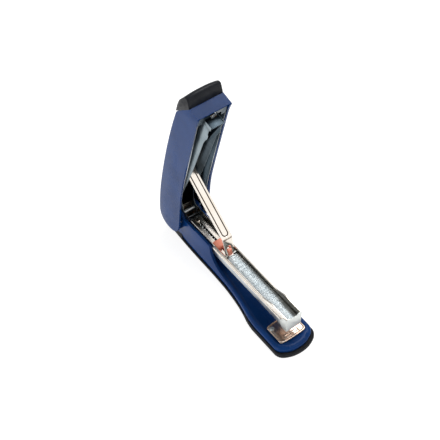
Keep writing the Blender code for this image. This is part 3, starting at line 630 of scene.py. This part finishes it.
def make_driver():
    """Thin folded frame that carries the driver blade between the magazine walls."""
    half, blade_half, nose_x = 6.6, 6.1, 154.5
    frame_sheet = slab([(149.7, 3.0), (149.7, -9.0, 0.3), (145.8, -8.7, 0.4), (143.4, -7.0, 0.6),
                        (138.0, -6.6, 0.6), (136.6, -7.6, 0.5), (131.5, -7.1, 0.6), (125.0, -4.4, 4),
                        (101.8, -2.6, 8), (64.8, 0.8, 8), (28.8, 5.4, 8), (11, 4.6, 6), (4.8, -2.2, 3),
                        (0, -4.2, 3), (-4.2, 0, 3), (-1, 3.8, 2), (4.5, 4.6, 3), (15, 12.0, 5),
                        (36, 16.0, 8), (60, 17.0, 8), (126, 14.8, 6), (149.7, 5.6, 1)], -half, half)
    frame_sheet.normal_update()
    open_up(frame_sheet, [f for f in frame_sheet.faces if abs(f.normal.y) < 0.5
                          and not (f.normal.z > 0.2 and f.calc_center_median().x > 24)])
    carrier = piece("driver_carrier", frame_sheet, "handle", PALE_STEEL, "plain_steel", "driver_frame",
                    place=HANDLE, crease=40)
    # The sheet's inner faces take dark steel as painted shade on the same pale steel.
    carrier.data.materials.append(DARK_STEEL)
    thicken(carrier, 0.22, inside=1)
    web_half = half - 0.3
    web = rounded(slab([(-web_half, 0.5), (-web_half, 5.2, 1), (web_half, 5.2, 1), (web_half, 0.5)],
                       147.4, 148.2, "front"), 0.12, 2)
    piece("driver_web", web, "handle", DARK_STEEL, "dark_steel", place=HANDLE)
    blade = rounded(slab([(-blade_half, -9.4), (-blade_half, 5.0, 1), (blade_half, 5.0, 1),
                          (blade_half, -9.4)], 148.5, 149.1, "front"), 0.12, 2)
    piece("driver_tongue", blade, "handle", DARK_STEEL, "dark_steel", "driver_blade", place=HANDLE)
    for word, side in (("right", -1), ("left", 1)):
        head = dome((149.15, side * 3.0, 2.8), (1, 0, 0), 1.5, 0.45)
        piece(f"blade_stud_{word}", head, "handle", STEEL, "plain_steel", f"blade_rivet_{word}",
              place=HANDLE)
    seat = (nose_x, 0, -1.2)
    screw = together(rounded(tube(seat, (nose_x, 0, -2.5), 2.3, 32), 0.5, 3),
                     tube(seat, (nose_x, 0, 6.0), 0.9, 16))
    piece("nose_screw_head", screw, "handle", STEEL, "plain_steel", "nose_screw", place=HANDLE)


make_handle()
make_driver()


# ---- link -----------------------------------------------------------------------
def stadium(radius, straight):
    """Long round-ended face, its first round end centred on the origin."""
    bm, segments = bmesh.new(), 36
    bmesh.ops.create_circle(bm, cap_ends=True, segments=segments, radius=radius)
    bmesh.ops.rotate(bm, verts=bm.verts, cent=(0, 0, 0),
                     matrix=Matrix.Rotation(math.pi / segments, 3, "Z"))
    bmesh.ops.translate(bm, verts=[v for v in bm.verts if v.co.x > 0], vec=(straight, 0, 0))
    return bm


def make_link():
    """Long bright strap with a pressed oval groove, ending in a bent fork; a barrel holds its pin."""
    half, length, groove, gauge = 5.1, 69.8, 3.3, 1.2
    start, straight = 2.6, length - 5.1 - 2.6
    plate = stadium(groove, straight)
    terrace(plate, plate.faces[:], (0.3, -0.55), (0.3, 0.0), (0.3, 0.55))
    rim = [e for e in plate.edges if e.is_boundary]
    grown = bmesh.ops.extrude_edge_only(plate, edges=rim)["geom"]
    for vert in moved(grown):
        centre = straight if vert.co.x > straight / 2 else 0.0
        away = Vector((vert.co.x - centre, vert.co.y))
        away *= half / max(abs(away.x), abs(away.y))
        vert.co.x, vert.co.y = centre + away.x, away.y
    # The groove's sunken faces take the painted groove shade.
    for face in plate.faces:
        face.material_index = int(any(v.co.z < -0.1 for v in face.verts))
    bmesh.ops.translate(plate, verts=plate.verts, vec=(start, 0, gauge / 2))
    bmesh.ops.recalc_face_normals(plate, faces=plate.faces)

    run, fall = 17.3, math.degrees(math.atan2(10.55, 83.5 - length))
    fork_out, fork_in, fork_root = 4.9, 2.1, 7.8
    tab = slab([(0, -half), (2.5, -half), (3.4, -fork_out), (run, -fork_out, 0.6), (run, -fork_in, 0.6),
                (fork_root, -fork_in, 2.0), (fork_root, fork_in, 2.0), (run, fork_in, 0.6),
                (run, fork_out, 0.6), (3.4, fork_out), (2.5, half), (0, half)],
               -gauge / 2, gauge / 2, "plan")
    rounded(tab, 0.2, 2)
    # A thin strip with painted groove shade stands for the shade at the fork's bend.
    bend_shade_half = half - 0.3
    crease = slab([(0.3, -bend_shade_half), (1.1, -bend_shade_half), (1.1, bend_shade_half), (0.3, bend_shade_half)],
                  0.55, 0.63, "plan")
    for face in crease.faces:
        face.material_index = 1
    tab = together(tab, crease)
    tab.transform(Matrix.Translation((length, 0, 0)) @ Matrix.Rotation(math.radians(fall), 4, "Y"))
    barrel = tube((0, -5.0, 0), (0, 5.0, 0), 2.3, 28)
    link = piece("loading_link", plate, "link", NICKEL, "bright_nickel", "link_arm", place=LINK,
                 crease=40)
    link.data.materials.append(GROOVE_SHADE)
    ease(thicken(link, gauge), 0.15)
    fork = piece("loading_link_tab", together(tab, barrel), "link", NICKEL, "bright_nickel", place=LINK,
                 crease=40)
    fork.data.materials.append(GROOVE_SHADE)


make_link()


# ---- magazine -------------------------------------------------------------------
def make_staples():
    """Glued sticks of separate staples, each bent from flat wire."""
    low, high = span("staple_strip")
    half, top, leg, wire, pitch, gap = high.y, high.z, 6.0, 0.5, 0.5, 0.02
    one = slab([(-half, top - leg), (-half, top, 0.6), (half, top, 0.6), (half, top - leg),
                (half - wire, top - leg), (half - wire, top - wire, 0.25),
                (wire - half, top - wire, 0.25), (wire - half, top - leg)],
               low.x + gap, low.x + pitch - gap, "front", steps=2)
    rounded(one, 0.13, 2, lambda m: m.z > top - 0.3)
    pattern = one.verts[:] + one.edges[:] + one.faces[:]
    rng = random.Random(7)
    count = int((high.x - low.x) / pitch)
    in_stick, lift = 27, 0.0
    for i in range(1, count):
        if i % in_stick == 0:
            lift = rng.uniform(-0.16, 0.0)
        copy = bmesh.ops.duplicate(one, geom=pattern)["geom"]
        bmesh.ops.translate(one, verts=moved(copy), vec=(i * pitch, 0, lift + rng.uniform(-0.03, 0.0)))
    piece("staple_sticks", one, "magazine", WIRE, "staple_wire", "staple_strip", crease=40)


def make_magazine():
    """Folded nickel walls with turned-out lips and painted shade on their inner faces, around a plain
    steel trough.
    """
    low, high = span("magazine_cover")
    half, wall = high.y, 0.55
    side = [(low.x, low.z), (low.x, 36.0, 0.5), (-146.0, 36.0, 2.5), (-142.0, 35.0, 2),
            (-105.0, 35.0, 0.6), (-102.0, 33.7, 1.0), (-33.2, 33.7, 2.0), (-21.3, high.z, 1.2),
            (high.x, high.z), (high.x, low.z)]
    parts = [rounded(slab(side, y, y + wall), 0.14, 2) for y in (-half, half - wall)]
    parts.append(rounded(slab([(-half, low.z), (-half, 36.0, 0.4), (half, 36.0, 0.4), (half, low.z)],
                              low.x, low.x + wall, "front"), 0.14, 2))
    for sign in (-1, 1):
        lip = [(sign * (half - 0.5), low.z + 1.6), (sign * (half + 0.35), low.z + 0.9, 0.4),
               (sign * (half + 0.45), low.z, 0.2), (sign * (half - 0.5), low.z)]
        parts.append(rounded(slab(lip, -150.0, -9.8, "front", 3), 0.08, 1))
        edge = [(-102.5, 33.78), (-33.2, 33.78, 2.0), (-21.3, 37.8, 1.2), (-1.0, 37.8), (-1.0, 37.35),
                (-21.6, 37.35, 1.2), (-33.5, 33.3, 2.0), (-102.5, 33.3)]
        parts.append(rounded(slab(edge, *to_side(sign, half - 0.6, half + 0.5)), 0.1, 2))
    walls = together(*parts)
    # Inward faces below the top edge take the painted shade steel.
    for face in walls.faces:
        at = face.calc_center_median()
        if face.normal.y * at.y < -0.9 * abs(at.y) and at.z < 33.2:
            face.material_index = 1
    piece("magazine_walls", walls, "magazine", NICKEL, "bright_nickel", "magazine_cover",
          crease=40).data.materials.append(SHADED_INNER_STEEL)

    low, high = span("magazine_channel")
    trough = slab([(low.y, high.z), (low.y, low.z, 1.2), (high.y, low.z, 1.2), (high.y, high.z)],
                  low.x, high.x, "front")
    open_up(trough, facing(trough, (0, 0, 1)) + facing(trough, (1, 0, 0)) + facing(trough, (-1, 0, 0)))
    ease(thicken(piece("magazine_trough", trough, "magazine", STEEL, "plain_steel", "magazine_channel"),
                 0.55), 0.1)


def make_front():
    """Front plate with its pointed notch, wrapped back along the walls."""
    half, wall, low, high = 8.1, 0.6, 21.0, 37.8
    notch = high - 1.7
    face = slab([(-half, low, 0.6), (-half, high, 0.8), (-3.8, high, 0.3), (-2.1, notch, 0.2),
                 (-1.0, notch, 0.2), (0, high - 0.5, 0.15), (1.0, notch, 0.2), (2.1, notch, 0.2),
                 (3.8, high, 0.3), (half, high, 0.8), (half, low, 0.6)], -wall, 0.0, "front", 3)
    parts = [rounded(face, 0.16, 2)]
    for sign in (-1, 1):
        wing = slab([(-wall / 2, low + 0.5), (-wall / 2, high - 0.9, 0.4), (-4.5, high - 1.5, 1.2),
                     (-9.5, 28.2, 1.6), (-8.2, 24.6, 1.6), (-5.0, low + 0.5, 0.6)],
                    *to_side(sign, half, half - 0.45))
        parts.append(rounded(wing, 0.12, 2))
        parts.append(dome((-5.0, sign * half, 31.0), (0, sign, 0), 1.6, 0.65))
    piece("front_wrap", together(*parts), "magazine", SATIN, "bright_nickel", "front_plate",
          "front_rivet_right", "front_rivet_left")


def make_pusher():
    """Salmon follower with its hook, and the bright plate that meets the staples."""
    under, top, rear, front = 30.0, 30.9, -98.6, -87.2
    block = rounded(slab([(-107, 29.95), (-107, 33.5, 1.2), (-98, 33.5, 1.4), (-98, 29.95)], -6.2, 6.2),
                    0.45, 3)
    arm = [(rear, under), (rear, top), (front, top, 0.3), (front, under)]
    arms = [rounded(slab(arm, *to_side(sign, 4.6, 6.1)), 0.15, 2) for sign in (-1, 1)]
    bar = rounded(slab([(-89.0, under), (-89.0, top, 0.2), (front, top, 0.2), (front, under)], -6.0, 6.0),
                  0.15, 2)
    hook = rounded(slab([(-88.7, 30.05), (-87.4, 30.05), (-87.9, 37.0, 0.8), (-90.4, 37.6, 1.0),
                         (-91.2, 35.5, 0.8), (-90.0, 32.5, 1.0)], -1.7, 1.7), 0.3, 3)
    rib = rounded(slab([(-98.4, under), (-98.4, 31.6, 0.4), (-91.5, 31.2, 0.5), (-91.5, under)],
                       -1.1, 1.1), 0.2, 2)
    foot_rear, foot_front = -105.5, -101.5
    stem = slab([(foot_rear, 27.5), (foot_rear, 30.2), (foot_front, 30.2), (foot_front, 27.5)], -0.8, 0.8)
    shoe = rounded(slab([(foot_rear, 26.7), (foot_rear, 28.4, 0.4), (foot_front, 28.4, 0.4),
                         (foot_front, 26.7)], -3.2, 3.2), 0.2, 2)
    piece("follower", together(block, *arms, bar, hook, rib, stem, shoe), "pusher", SALMON,
          "salmon_plastic", "pusher_block")

    back, fold, face, half = -89.2, -86.9, -86.1, 6.3
    lid_low, lid_high = 30.92, 31.05
    strips = [((back, -88.85), (-half, half)), ((-87.25, face), (-half, half)),
              ((back, face), (-half, -2.3)), ((back, face), (2.5, half))]
    lid = [slab([(x0, lid_low), (x0, lid_high), (x1, lid_high), (x1, lid_low)], y0, y1)
           for (x0, x1), (y0, y1) in strips]

    def turned_down(bottom, right, left):
        """Flap at the front of the plate, folded down to this height."""
        drawing = [(fold, bottom), (fold, 30.95), (face, 30.95, 0.4), (face, bottom)]
        return rounded(slab(drawing, right, left), 0.1, 2)

    drops = [turned_down(24.6, *to_side(sign, 5.7, 6.35)) for sign in (-1, 1)]
    piece("follower_plate", together(*lid, *drops, turned_down(under, -half, half)), "pusher", SATIN,
          "bright_nickel", "pusher_plate")


def make_anvil():
    """Bright plate with a raised rim, its crimping die and two slotted screws."""
    low, top = span("anvil_plate")[0].z, span("anvil_plate")[1].z

    def plate_plan(inset):
        """Rounded corners, with the front and rear edges bowed out to a blunt point."""
        side = [(-18.9 + inset, 13.9 - inset, 2), (1.4 - inset, 13.9 - inset, 2)]
        mirrored = [(x, -y, *cut) for x, y, *cut in reversed(side)]
        return [(-20.9 + inset, 0.0, 12)] + side + [(3.4 - inset, 0.0, 12)] + mirrored

    plate = stacked(plate_plan, (0.0, low), (0.0, top - 0.45), (0.15, top - 0.15), (0.5, top),
                    (0.8, top - 0.02), (1.0, top - 0.12), (1.25, top - 0.35), (1.7, top - 0.4),
                    (2.4, top - 0.41))
    # Plate and die take the nickel with painted copper-brown reflections.
    piece("striking_plate", plate, "base", STRIKING_PAINTED_REFLECTION, "bright_nickel", "anvil_plate", crease=50)
    die = rounded(slab([(-3.9, low), (-3.9, top, 0.4), (0.5, top, 0.4), (0.5, low)], -8.0, 8.0), 0.3, 3)
    cups = []
    for sign in (-1, 1):
        cup_length = 3.9
        cup = stadium(1.35, cup_length)
        terrace(cup, cup.faces[:], (0.22, 0.17), (0.12, 0.0), (0.28, -0.15), (0.3, -0.02))
        cup.transform(Matrix.Translation((-1.7, sign * 4.0 - cup_length / 2, top + 0.02))
                      @ Matrix.Rotation(math.pi / 2, 4, "Z"))
        cups.append(cup)
    piece("crimping_die", together(die, *cups), "base", STRIKING_PAINTED_REFLECTION, "plain_steel", "anvil_die", crease=50)
    for word, side in (("right", -1), ("left", 1)):
        seat = (-14.5, side * 10.8, top - 0.4)
        head = slotted_head(seat, 2.1, 1.5, 0.3, 55.0 * side)
        piece(f"plate_screw_{word}", head, "base", STEEL, "plain_steel", f"anvil_screw_{word}", crease=40)


def make_springs():
    """Return spring under the magazine, follower spring on its rod, and the handle's own spring."""
    foot = Vector((-119.0, 0.0, 9.6))
    lift = piece("return_coil", coil(foot, (foot.x, 0, 20.7), 3.4, 0.6, 4), "base", STEEL, "plain_steel",
                 "lift_spring", crease=60)
    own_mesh(lift)
    rear = Vector((-134.8, 0.0, 25.4))
    push = piece("follower_coil", coil(rear, (-106.4, 0, rear.z), 2.6, 0.5, 8), "magazine", STEEL,
                 "plain_steel", "pusher_spring", crease=60)
    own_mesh(push)
    piece("handle_coil", coil((100, 0, 17.05), (100, 0, 21.7), 3.6, 0.6, 3), "handle", STEEL,
          "plain_steel", "lever_spring", place=HANDLE, crease=60)


make_springs()
make_staples()
make_magazine()
make_front()
make_pusher()
make_anvil()


# ---- floor, light and camera ----------------------------------------------------
def studio():
    """Pale paper floor, soft panels around the stapler and an even sky."""
    floor_mesh = bpy.data.meshes.new("floor")
    bm = bmesh.new()
    bmesh.ops.create_grid(bm, x_segments=1, y_segments=1, size=3.0)
    bm.to_mesh(floor_mesh)
    bm.free()
    floor = bpy.data.objects.new("floor", floor_mesh)
    bpy.context.scene.collection.objects.link(floor)
    white = (1.0, 1.0, 1.0, 1.0)
    look, tree, shader = finish("floor_paper", Roughness=0.9, Specular_IOR_Level=0.1,
                                Emission_Strength=0.84, Emission_Color=white)
    tint(tree, shader, (0.40, 0.40, 0.40), (0.42, 0.42, 0.42),
         use(tree, CLOUDS, Scale=3.0, Low=0.0, High=1.0)["Value"])
    floor_mesh.materials.append(look)

    world = bpy.data.worlds.new("studio")
    world.use_nodes = True
    sky = world.node_tree.nodes["Background"]
    sky.inputs["Color"].default_value = white
    seen = add(world.node_tree, "ShaderNodeLightPath").outputs["Is Camera Ray"]
    level = add(world.node_tree, "ShaderNodeMapRange", {"Value": seen, "To Min": 0.28, "To Max": 1.0})
    world.node_tree.links.new(level.outputs["Result"], sky.inputs["Strength"])
    bpy.context.scene.world = world

    lit, distance = Vector((-0.08, 0.0, 0.05)), 1.3
    for name, direction, size, power in (
            ("key_light", (-0.116, 0.389, 0.914), (0.7, 0.7), 9.0),
            ("link_light", (0.60, 0.39, 0.70), (0.9, 0.9), 2.5),
            ("back_light", (-0.56, 0.39, 0.73), (0.8, 0.8), 1.5),
            ("side_light", (0.15, -0.96, 0.22), (1.0, 0.5), 5.6),
            ("edge_light", (-0.50, -0.77, 0.39), (0.2, 0.9), 1.0)):
        lamp = bpy.data.lights.new(name, "AREA")
        lamp.shape = "RECTANGLE"
        lamp.size, lamp.size_y = size
        lamp.energy = power
        panel = bpy.data.objects.new(name, lamp)
        bpy.context.scene.collection.objects.link(panel)
        panel.location = lit + Vector(direction) * distance
        panel.rotation_euler = (-Vector(direction)).to_track_quat("-Z", "Y").to_euler()
    bpy.context.scene.view_settings.view_transform = "Standard"


def viewpoint():
    """Camera looking down at the open stapler from its front right corner."""
    side, height, roll = (math.radians(v) for v in (52.40, 50.42, 0.92))
    distance, aim, lens = 0.9471, Vector((-0.104, 0.0, 0.0626)), 89.61
    back = Vector((math.sin(side) * math.cos(height), -math.cos(side) * math.cos(height),
                   math.sin(height)))
    right = (-back).cross(Vector((0, 0, 1))).normalized()
    up = right.cross(-back)
    level = right * math.cos(roll) + up * math.sin(roll)
    upright = up * math.cos(roll) - right * math.sin(roll)
    lens_data = bpy.data.cameras.new("camera")
    lens_data.lens = lens
    lens_data.sensor_width = 36.0
    camera = bpy.data.objects.new("camera", lens_data)
    bpy.context.scene.collection.objects.link(camera)
    turn = Matrix((level, upright, back)).transposed().to_4x4()
    camera.matrix_world = Matrix.Translation(aim + back * distance) @ turn
    bpy.context.scene.camera = camera


studio()
viewpoint()
